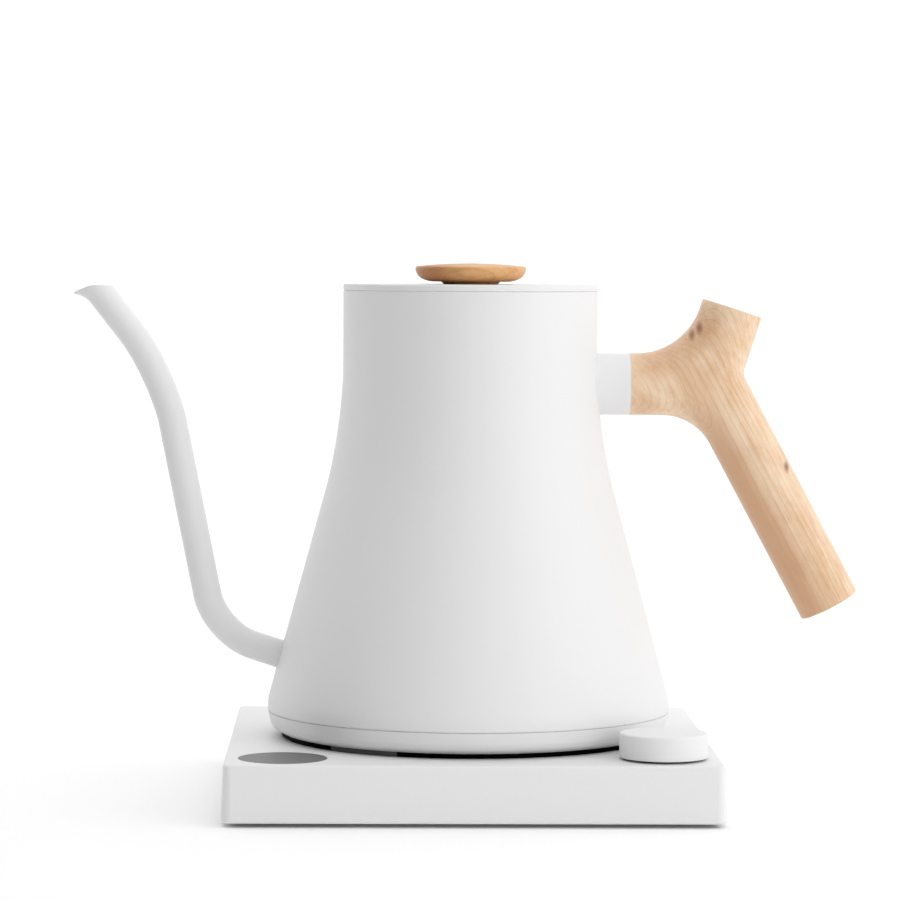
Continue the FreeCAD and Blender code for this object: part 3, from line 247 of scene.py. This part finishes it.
def maple(name, pale, warm, turn, knots=(), patches=(), painted_shade_strip=None):
    """Oiled maple: curved growth layers, long straight streaks, short pores and small knots.

    The grain runs up the Z axis turned about Y by turn. knots are (centre, size); patches are
    (centre, size, strength) of painted shade away from the light. heartwood is a strip of painted
    shade along the grain as (start, end) across it, and it grows fainter between the two heights
    PAINTED_SHADE_FADES."""
    finish = Finish(name, Coat_Roughness=0.35)
    straight = finish.coordinates(turn=(0, turn, 0))
    long_grain = finish.coordinates(turn=(0, turn, 0), stretch=(1, 1, 0.05))
    pore_place = finish.coordinates(turn=(0, turn, 0), stretch=(1, 1, 0.14))
    warp = finish.noise(finish.coordinates(turn=(0, turn, 0), stretch=(1, 1, 0.22)), 42, 2, 0.45)
    across = finish.node("SeparateXYZ", {0: straight}, output="X")
    depth = finish.node("SeparateXYZ", {0: straight}, output="Y")
    along = finish.node("SeparateXYZ", {0: straight}, output="Z")
    layer = across * math.sin(LAYER_TILT) + depth * math.cos(LAYER_TILT)
    late_wood = (layer * (1 / RING_SPACING) + warp * 2.6).math("FRACT") ** 13
    faint_ring = (layer * (1 / FAINT_RING_SPACING) + warp * 6).math("FRACT") ** 3
    streaks = finish.noise(long_grain, 700, 3, 0.6)
    bands = finish.noise(long_grain, 130, 3, 0.5)
    broad = finish.noise(straight, 30, 2, 0.5)
    figure = finish.noise(finish.coordinates(turn=(0, turn, 0), stretch=(1, 1, 0.5)), 230, 3, 0.6)
    pores = finish.noise(pore_place, 3000, 2, 0.5).math("GREATER_THAN", 0.67)
    brown = shade_of(warm, 0.62, 0.48, 0.38)
    knot_brown = shade_of(warm, 0.34, 0.17, 0.10)
    # the darker brown of the painted shade, laid on the wood's sides away from the light
    painted_shade_brown = shade_of(warm, 0.92, 0.82, 0.78)
    tone = bands * 0.28 + broad * 0.25 + streaks * 0.22 + figure * 0.25
    wood = finish.ramp(tone, (0.40, warm), (0.56, pale))
    # a strip of painted shade down the stem's side away from the light, fainter towards its top
    if painted_shade_strip:
        edge = broad * (8 * MM) + across
        strip = finish.fade(edge, painted_shade_strip[0], painted_shade_strip[0] + 5 * MM)
        strip = strip - finish.fade(edge, painted_shade_strip[1] - 5 * MM, painted_shade_strip[1] + 3 * MM)
        strip = strip * (1 - finish.fade(along, *PAINTED_SHADE_FADES) * 0.55)
        wood = finish.mix(strip * 0.85, wood, painted_shade_brown)
    # patches of painted shade where the wood faces away from the light
    for centre, size, strength in patches:
        near = 1 - finish.fade(finish.distance(centre), size * 0.2, size)
        wood = finish.mix(near * strength, wood, painted_shade_brown)
    presence = finish.noise(straight, 55, 2, 0.5).math("SMOOTH_MIN", 0.62, 0.1)
    wood = finish.mix(late_wood * presence * 0.8 + faint_ring * 0.08, wood, brown)
    wood = finish.mix(pores * 0.22, wood, brown)
    for centre, size in knots:
        # a knot runs on into the wood, so depth counts for little
        near = 1 - finish.fade(finish.distance(centre, (1, 0.25, 0.5)), size * 0.15, size)
        wood = finish.mix(near * 0.9, wood, knot_brown)
    finish.drive("Base Color", wood)
    finish.drive("Roughness", late_wood * 0.10 + streaks * 0.16 + 0.38)
    finish.drive("Coat Weight", 0.12 - pores * 0.08)
    finish.bump(streaks * 0.5 - late_wood * 0.3 - pores * 0.5, 0.14, 0.08 * MM)


def ringed_cover(name):
    """Black moulding whose foot ring has one greyer strip at the front left, a painted reflection."""
    finish = Finish(name, Specular_IOR_Level=0.02)
    place = finish.coordinates()
    across = finish.node("SeparateXYZ", {0: place}, output="X")
    depth = finish.node("SeparateXYZ", {0: place}, output="Y")
    angle = across.math("ARCTAN2", depth * -1.0)
    # the greyer strip is a painted reflection on the black ring, between these two angles
    start, end = math.radians(-47), math.radians(-23)
    strip = angle.math("GREATER_THAN", start) - angle.math("GREATER_THAN", end)
    fine = finish.noise(place, 3600, 3, 0.6)
    broad = finish.noise(place, 40, 3, 0.5)
    black = finish.mix(broad, (0.0005, 0.0005, 0.0005), (0.0015, 0.0015, 0.0015))
    # the grey of the painted reflection
    finish.drive("Base Color", finish.mix(strip, black, (0.10, 0.10, 0.103)))
    finish.drive("Roughness", fine * 0.10 + broad * 0.08 + 0.5)
    finish.bump(fine, 0.06, FINE_BUMP)


def smoked_glass(name):
    """The display window: grey smoked glass with faint wipe marks."""
    finish = Finish(name, IOR=1.5)
    smear = finish.noise(finish.coordinates(stretch=(1, 2.4, 1)), 90, 4, 0.6)
    finish.drive("Base Color", finish.mix(smear, (0.112, 0.112, 0.114), (0.122, 0.122, 0.124)))
    finish.drive("Roughness", smear * 0.10 + 0.38)
    finish.bump(smear, 0.02, FINE_BUMP)


def circuit_board(name):
    """Green solder mask with lighter tracks and tinned pads."""
    finish = Finish(name)
    place = finish.coordinates()
    tracks = finish.node("TexBrick", {"Vector": place, "Scale": 140.0, "Mortar Size": 0.06}, output="Fac")
    pads = finish.node("TexVoronoi", {"Vector": place, "Scale": 210.0}, feature="F1")
    pad_mask = pads.math("LESS_THAN", 0.22)
    green = finish.mix(tracks, (0.02, 0.15, 0.06), (0.04, 0.26, 0.11))
    finish.drive("Base Color", finish.mix(pad_mask, green, (0.62, 0.62, 0.60)))
    finish.drive("Metallic", pad_mask * 0.9)
    finish.drive("Roughness", 0.45 - pad_mask * 0.15)
    finish.bump(tracks, 0.2, FINE_BUMP)


HANDLE_KNOTS = [
    (spot(83.6, -9, 172.8), 1.9 * MM),
    (spot(80.9, -8.5, 170.6), 1.8 * MM),
    (spot(116.4, -8.0, 122.0), 1.7 * MM),
]
# painted shade on the handle's junction and stem, on the sides away from the light
HANDLE_SHADE_PATCHES = [
    (spot(81, -10, 173), 15 * MM, 0.6),
    (spot(66, -8, 160), 12 * MM, 0.5),
    (spot(64, -8, 143), 9 * MM, 0.4),
]
# painted shade on the front left of the knob, away from the light
KNOB_SHADE_PATCHES = [(spot(-17, -12, 191), 17 * MM, 0.9)]

# mouldings and coats: colour, roughness, the grain of the texture, how deep and how worn it is
moulded("white_coat", (0.795, 0.795, 0.80), 0.50, grain=900, depth=0.05, wear=0.02)
moulded("white_plastic", (0.815, 0.815, 0.822), 0.46, grain=1300, depth=0.04, wear=0.02)
# the handle gets patches and a strip of painted shade, the knob one patch
maple("maple_handle", (0.85, 0.65, 0.46), (0.69, 0.43, 0.24), STEM_LEAN,
      HANDLE_KNOTS, HANDLE_SHADE_PATCHES, painted_shade_strip=(140 * MM, 153 * MM))
maple("maple_knob", (0.80, 0.45, 0.19), (0.56, 0.26, 0.085), math.radians(90),
      patches=KNOB_SHADE_PATCHES)
moulded("black_plastic", (0.012, 0.012, 0.013), 0.48, grain=1100, depth=0.10, wear=0.25)
ringed_cover("foot_ring")
moulded("grey_plastic", (0.09, 0.09, 0.095), 0.5, grain=800, depth=0.12, wear=0.2)
moulded("black_rubber", (0.025, 0.025, 0.026), 0.75, grain=700, depth=0.2, wear=0.3)
moulded("silicone", (0.62, 0.62, 0.60), 0.42, grain=500, depth=0.05, wear=0.08,
        Subsurface_Weight=0.25, Subsurface_Scale=1.5 * MM)
brushed("stainless", (0.66, 0.655, 0.64), 0.32)
brushed("plated_steel", (0.60, 0.60, 0.59), 0.30)
brushed("brass", (0.78, 0.56, 0.22), 0.28)
brushed("aluminium", (0.70, 0.70, 0.71), 0.42)
smoked_glass("window")
moulded("module_glass", (0.02, 0.022, 0.025), 0.2, grain=200, depth=0.02, wear=0.2)
circuit_board("board")
moulded("component_case", (0.05, 0.05, 0.06), 0.4, grain=900, depth=0.1, wear=0.25)

NODE_FINISH = {
    "white_coat": ["kettle_body", "bottom_band", "lid_cap", "handle_collar"],
    "white_plastic": ["base_housing", "dial_knob"],
    "stainless": ["kettle_floor", "lid_liner", "temperature_sensor"],
    "black_plastic": ["connector_housing", "socket_body"],
    "foot_ring": ["bottom_cover"],
    "grey_plastic": ["base_plate", "encoder_plunger"],
    "black_rubber": ["base_feet", "cord_gland"],
    "silicone": ["lid_seal"],
    "window": ["display_lens"],
    "module_glass": ["display_panel"],
    "board": ["control_board", "power_board"],
    "component_case": ["board_parts"],
    "brass": ["connector_pin", "connector_rings", "socket_contacts", "knob_insert", "handle_insert"],
    "plated_steel": ["base_screws", "bottom_cover_screws", "knob_screw", "handle_stud",
                     "encoder_body", "encoder_nut", "encoder_shaft", "thermal_cutout"],
    "aluminium": ["heat_spreader", "heating_element"],
    "maple_handle": ["handle"],
    "maple_knob": ["lid_knob", "knob_spacer"],
}


def dress(piece, finish):
    piece.data.materials.clear()
    piece.data.materials.append(MATERIALS[finish])


for finish_name, nodes in NODE_FINISH.items():
    for node_name in nodes:
        dress(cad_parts[node_name], finish_name)


# ---------------------------------------------------------------- modelling by hand
def deselect():
    if bpy.context.mode != "OBJECT":
        bpy.ops.object.mode_set(mode="OBJECT")
    bpy.ops.object.select_all(action="DESELECT")


def take(piece):
    """Make a piece the only one selected."""
    deselect()
    piece.select_set(True)
    bpy.context.view_layer.objects.active = piece


def apply_place(piece):
    take(piece)
    bpy.ops.object.transform_apply(location=True, rotation=True, scale=True)


def smooth(piece, degrees):
    take(piece)
    bpy.ops.object.shade_smooth_by_angle(angle=math.radians(degrees))


def pick(piece, test):
    """In edit mode, select only the vertices whose place passes a test."""
    mesh = bmesh.from_edit_mesh(piece.data)
    bpy.ops.mesh.select_all(action="DESELECT")
    for vertex in mesh.verts:
        vertex.select = test(piece.matrix_world @ vertex.co)
    mesh.select_flush(True)
    bmesh.update_edit_mesh(piece.data)


def outline_piece(name, corners, rounds=()):
    """A wire drawn corner by corner by extruding; rounds are (corner, reach, segments)."""
    deselect()
    bpy.ops.mesh.primitive_plane_add(size=MM, location=corners[0])
    piece = bpy.context.active_object
    piece.name = name
    bpy.ops.object.mode_set(mode="EDIT")
    bpy.ops.mesh.merge(type="CENTER")
    for before, after in zip(corners, corners[1:]):
        step = Vector(after) - Vector(before)
        bpy.ops.mesh.extrude_vertices_move(TRANSFORM_OT_translate={"value": step})
    for corner, reach, segments in rounds:
        place = Vector(corners[corner])
        pick(piece, lambda corner_place: (corner_place - place).length < WELD)
        bpy.ops.mesh.bevel(offset=reach, segments=segments, affect="VERTICES")
    return piece


def lathe(name, outline, rounds):
    """Spin a closed outline of (radius, height) corners about the kettle's upright axis."""
    corners = [(radius, 0, height) for radius, height in outline]
    piece = outline_piece(name, corners + corners[:1], rounds)
    bpy.ops.mesh.select_all(action="SELECT")
    bpy.ops.mesh.spin(steps=STEPS, angle=2 * math.pi, center=(0, 0, 0), axis=(0, 0, 1))
    bpy.ops.mesh.select_all(action="SELECT")
    bpy.ops.mesh.remove_doubles(threshold=WELD)
    bpy.ops.mesh.normals_make_consistent(inside=False)
    bpy.ops.object.mode_set(mode="OBJECT")
    apply_place(piece)
    smooth(piece, 32)
    return piece


def finish_piece(piece, finish, body, node):
    """Hand a modelled piece over: its finish, the body it moves with and the node it stands for."""
    dress(piece, finish)
    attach(piece, body)
    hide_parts(node)


def apply_modifier(piece, kind, **settings):
    take(piece)
    made = piece.modifiers.new(kind.title(), kind)
    for setting, value in settings.items():
        setattr(made, setting, value)
    bpy.ops.object.modifier_apply(modifier=made.name)


def drill_hole(piece, radius, depth, place, turn=(0, 0, 0), vertices=32):
    """Cut a round hole with a cylinder, and take the cylinder away again."""
    deselect()
    bpy.ops.mesh.primitive_cylinder_add(vertices=vertices, radius=radius, depth=depth,
                                        location=place, rotation=turn)
    drill = bpy.context.active_object
    apply_modifier(piece, "BOOLEAN", operation="DIFFERENCE", object=drill, solver="EXACT")
    bpy.data.objects.remove(drill)
    smooth(piece, 30)


# ---------------------------------------------------------------- spout
def make_spout():
    past_mouth = SPOUT_MOUTH + (SPOUT_MOUTH - SPOUT_BEND).normalized() * 16 * MM
    along = (SPOUT_ROOT - SPOUT_KNEE).normalized()
    start = SPOUT_ROOT + along * 0.6 * MM
    piece = outline_piece("gooseneck_spout", [start, SPOUT_KNEE, SPOUT_BEND, past_mouth],
                          [(1, KNEE_ROUND, 20), (2, BEND_ROUND, 24)])
    bpy.ops.object.mode_set(mode="OBJECT")
    apply_place(piece)
    bpy.ops.object.convert(target="CURVE")
    piece = bpy.context.active_object
    piece.data.bevel_depth = SPOUT_RADIUS
    piece.data.bevel_resolution = 14
    piece.data.use_fill_caps = True
    bpy.ops.object.convert(target="MESH")
    piece = bpy.context.active_object
    bpy.ops.object.mode_set(mode="EDIT")
    bpy.ops.mesh.select_all(action="SELECT")
    bpy.ops.mesh.remove_doubles(threshold=WELD)
    bpy.ops.mesh.normals_make_consistent(inside=False)
    bpy.ops.mesh.bisect(plane_co=SPOUT_MOUTH, plane_no=(0, 0, 1), clear_outer=True)
    bpy.ops.mesh.select_all(action="SELECT")
    bpy.ops.mesh.bisect(plane_co=start - along * 0.2 * MM, plane_no=along, clear_outer=True)
    # rings just under the mouth give the lip something to bend with
    for drop in (0.7, 1.5, 2.4, 3.4, 4.6, 6, 7.6, 9.5, 12):
        bpy.ops.mesh.select_all(action="SELECT")
        bpy.ops.mesh.bisect(plane_co=SPOUT_MOUTH - spot(0, 0, drop), plane_no=(0, 0, 1))
    pull_lip(piece)
    bpy.ops.object.mode_set(mode="OBJECT")
    apply_modifier(piece, "SOLIDIFY", thickness=WALL, offset=-1, use_even_offset=False)
    apply_modifier(piece, "BEVEL", width=0.22 * MM, segments=3, limit_method="ANGLE",
                   angle_limit=math.radians(60))
    smooth(piece, 60)
    finish_piece(piece, "white_coat", "kettle", "spout")


def pull_lip(piece):
    """Draw the outer side of the mouth out into a pouring lip that dips at its point."""
    mesh = bmesh.from_edit_mesh(piece.data)
    half = SPOUT_RADIUS / math.cos(TIP_LEAN)
    for vertex in mesh.verts:
        place = vertex.co
        drop = SPOUT_MOUTH.z - place.z
        if drop > LIP_LENGTH:
            continue
        middle = SPOUT_MOUTH.x + drop * math.tan(TIP_LEAN)
        out = (middle - place.x) / half
        if out <= 0:
            continue
        reach = min(out, 1)
        flare = max(0, 1 - drop / LIP_REACH_DEPTH)
        dip = max(0, 1 - drop / LIP_DIP_DEPTH)
        place.x -= LIP_REACH * reach ** 2 * flare
        place.z -= LIP_DIP * reach ** 1.7 * dip ** 1.3
        place.y *= 1 - LIP_PINCH * reach ** 2 * flare
    bmesh.update_edit_mesh(piece.data)


# ---------------------------------------------------------------- kettle body and lid
def make_kettle_body():
    body = lathe("kettle_shell", [
        (SHOULDER, SEAM),
        (SHOULDER, SHOULDER_TURN),
        (NECK, NECK_TURN),
        (NECK, RIM),
        (MOUTH, RIM),
        (MOUTH, RIM - WALL),
        (NECK - WALL, RIM - WALL),
        (NECK - WALL, NECK_TURN),
        (SHOULDER - WALL, SHOULDER_TURN),
        (SHOULDER - WALL, SEAM),
        (SHOULDER - 0.2 * MM, SEAM),
        (SHOULDER, SEAM + 0.2 * MM),
    ], [(1, SHOULDER_ROUND, 6), (2, NECK_ROUND, 28), (3, 0.35 * MM, 4), (4, 0.3 * MM, 3),
        (7, NECK_ROUND, 20), (8, SHOULDER_ROUND, 4)])
    spout_turn = (SPOUT_KNEE - SPOUT_ROOT).to_track_quat("Z", "Y").to_euler()
    drill_hole(body, SPOUT_BORE, 12 * MM, SPOUT_ROOT, spout_turn, vertices=48)
    finish_piece(body, "white_coat", "kettle", "kettle_body")


def make_bottom_band():
    foot = COVER_HIGH.x
    low, high = BAND_LOW.z, SEAM
    band = lathe("lower_band", [
        (foot, low),
        (SHOULDER - 1.2 * MM, low + 2.1 * MM),
        (SHOULDER - 0.05 * MM, high - 0.35 * MM),
        (SHOULDER - 0.4 * MM, high),
        (SHOULDER - WALL, high),
        (SHOULDER - 2.2 * MM, low + 2.9 * MM),
        (foot - WALL, low),
    ], [(1, 2.0 * MM, 10), (5, 1.8 * MM, 8)])
    finish_piece(band, "white_coat", "kettle", "bottom_band")


def make_lid_cap():
    top, hole = LID_HIGH.z, 1.7 * MM
    cap = lathe("lid_disc", [
        (hole, RIM), (NECK - 0.3 * MM, RIM), (NECK, RIM + 0.25 * MM), (NECK, top), (hole, top),
    ], [(1, 0.1 * MM, 2), (2, 0.1 * MM, 3), (3, 0.55 * MM, 6)])
    drill_hole(cap, VENT_RADIUS, 8 * MM, (0, VENT_SETBACK, top))
    finish_piece(cap, "white_coat", "lid", "lid_cap")


def make_lid_knob():
    reach = (KNOB_HIGH.x - KNOB_LOW.x) / 2
    low, high = KNOB_LOW.z, KNOB_HIGH.z
    edge = high - 1.2 * MM
    knob = lathe("wooden_knob", [
        (3.6 * MM, high - 1.6 * MM),
        (3.6 * MM, low),
        (reach - 4.6 * MM, low),
        (reach, low + 2.2 * MM),
        (reach, edge),
        (reach * 0.55, high - 0.3 * MM),
        (0.02 * MM, high),
        (0.02 * MM, high - 1.6 * MM),
    ], [(2, 2.0 * MM, 5), (3, 2.6 * MM, 9), (4, 0.9 * MM, 6), (5, 5 * MM, 8)])
    finish_piece(knob, "maple_knob", "lid", "lid_knob")
    neck = lathe("knob_foot", [
        (1.8 * MM, low), (1.8 * MM, LID_HIGH.z), (9.9 * MM, LID_HIGH.z), (10.9 * MM, low),
    ], [(2, 0.15 * MM, 2)])
    finish_piece(neck, "maple_knob", "lid", "knob_spacer")


# ---------------------------------------------------------------- handle
def copy_of(node, name):
    """A loose copy of a node's mesh with its doubled vertices merged, to be worked on."""
    deselect()
    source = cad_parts[node]
    piece = source.copy()
    piece.data = source.data.copy()
    piece.name = name
    piece.parent = None
    piece.matrix_world = source.matrix_world.copy()
    bpy.context.scene.collection.objects.link(piece)
    apply_place(piece)
    bpy.ops.object.mode_set(mode="EDIT")
    bpy.ops.mesh.select_all(action="SELECT")
    bpy.ops.mesh.remove_doubles(threshold=1e-5)
    bpy.ops.object.mode_set(mode="OBJECT")
    return piece


def make_handle():
    """The handle's three arms blended into one another, with a crisp cut end on each."""
    piece = copy_of("handle", "wooden_handle")
    ends = [(axis, max(axis.dot(vertex.co) for vertex in piece.data.vertices))
            for axis in (STUB_AXIS, STEM_AXIS)]
    apply_modifier(piece, "REMESH", mode="VOXEL", voxel_size=0.5 * MM, use_smooth_shade=True)
    apply_modifier(piece, "SMOOTH", factor=0.5, iterations=30)
    bpy.ops.object.mode_set(mode="EDIT")
    for axis, end in ends:
        cut_end(piece, axis, end)
    # the end against the collar is a flat ring round the bore
    collar_side = Vector((-1, 0, 0))
    bpy.ops.mesh.select_all(action="SELECT")
    bpy.ops.mesh.bisect(plane_co=(COLLAR_HIGH.x + COLLAR_END, 0, 0), plane_no=collar_side,
                        clear_outer=True)
    back = collar_side * (COLLAR_END - COLLAR_CLEARANCE)
    bpy.ops.mesh.extrude_region_move(TRANSFORM_OT_translate={"value": back})
    bpy.ops.mesh.bridge_edge_loops()
    bpy.ops.mesh.select_all(action="SELECT")
    bpy.ops.mesh.normals_make_consistent(inside=False)
    bpy.ops.object.mode_set(mode="OBJECT")
    smooth(piece, 35)
    finish_piece(piece, "maple_handle", "kettle", "handle")


def cut_end(piece, axis, end):
    """Saw an arm square a little short of its end, cap it and draw the cap back out, easing its rim."""
    bpy.ops.mesh.select_all(action="SELECT")
    bpy.ops.mesh.bisect(plane_co=axis * (end - ARM_END), plane_no=axis, clear_outer=True)
    bpy.ops.mesh.edge_face_add()
    mesh = bmesh.from_edit_mesh(piece.data)
    rim = [vertex.co.copy() for vertex in mesh.verts if vertex.select]
    middle = sum(rim, Vector()) / len(rim)
    for step, size in ((ARM_END - ARM_RIM, 1), (0.25 * MM, 0.993), (0.2 * MM, 0.975)):
        bpy.ops.mesh.extrude_region_move(TRANSFORM_OT_translate={"value": axis * step})
        middle = middle + axis * step
        bpy.ops.transform.resize(value=(size, size, size), center_override=middle)


make_spout()
make_handle()
make_kettle_body()
make_bottom_band()
make_lid_cap()
make_lid_knob()


# ---------------------------------------------------------------- floor, light and camera
DARK = (0.02, 0.02, 0.02)
SKY_STRENGTH = 1.11
CAMERA_PLACE = spot(-38.2, -1375.6, 195.9)
CAMERA_TURN = math.radians(-1.288)
CAMERA_PITCH = math.radians(90 - 2.865)
CAMERA_ROLL = math.radians(0.306)
LENS, SENSOR = 149.6, 36


def stage_plane(name, size, place, colour, turn=(0, 0, 0), glow=0.0, seen=True):
    """A matt plane that belongs to the studio, not to the kettle."""
    deselect()
    bpy.ops.mesh.primitive_plane_add(size=size, location=place, rotation=turn)
    plane = bpy.context.active_object
    plane.name = name
    finish = Finish(name + "_paint", Base_Color=(*colour, 1), Roughness=1.0, Specular_IOR_Level=0.0,
                    Emission_Color=(1, 1, 1, 1), Emission_Strength=glow)
    plane.data.materials.append(finish.material)
    plane.visible_camera = seen


def dark_card(name, azimuth, distance, size, height):
    """A card facing the kettle from an azimuth in degrees, counted from the front towards +X."""
    heading = math.radians(azimuth)
    place = (math.sin(heading) * distance, -math.cos(heading) * distance, height)
    stage_plane(name, size, place, DARK, turn=(math.radians(90), 0, heading), seen=False)


def area_light(name, place, aim, size, power):
    light = bpy.data.lights.new(name, "AREA")
    light.shape = "RECTANGLE"
    light.size, light.size_y = size
    light.energy = power
    lamp = bpy.data.objects.new(name, light)
    bpy.context.scene.collection.objects.link(lamp)
    lamp.location = place
    lamp.rotation_euler = (Vector(aim) - Vector(place)).to_track_quat("-Z", "Y").to_euler()


def make_studio():
    """A bright floor under an even white sky, two dark cards on the left and two weak lights."""
    stage_plane("floor", 12, (0, 0, 0), (0.95, 0.95, 0.95), glow=0.06)
    dark_card("front_left_card", azimuth=-44, distance=1.0, size=1.25, height=0.5)
    dark_card("left_card", azimuth=-80, distance=1.3, size=0.7, height=0.4)
    world = bpy.data.worlds.new("studio")
    world.use_nodes = True
    background = world.node_tree.nodes["Background"]
    background.inputs["Color"].default_value = (1, 1, 1, 1)
    background.inputs["Strength"].default_value = SKY_STRENGTH
    bpy.context.scene.world = world
    area_light("top_light", (0, 0.3, 2.2), (0, 0, 0), (2.4, 2.4), power=3)
    area_light("right_light", (1.4, -1.0, 0.6), (0, 0, 0.1), (1.0, 1.0), power=3.4)


def make_camera():
    camera = bpy.data.cameras.new("camera")
    camera.sensor_width = SENSOR
    camera.lens = LENS
    camera.clip_start, camera.clip_end = 0.05, 50
    holder = bpy.data.objects.new("camera", camera)
    bpy.context.scene.collection.objects.link(holder)
    turn = Matrix.Rotation(CAMERA_TURN, 4, "Z")
    pitch = Matrix.Rotation(CAMERA_PITCH, 4, "X")
    roll = Matrix.Rotation(CAMERA_ROLL, 4, "Z")
    place = Matrix.Translation(CAMERA_PLACE)
    holder.matrix_world = place @ turn @ pitch @ roll
    bpy.context.scene.camera = holder
    bpy.context.scene.view_settings.view_transform = "Standard"


make_studio()
make_camera()

deselect()
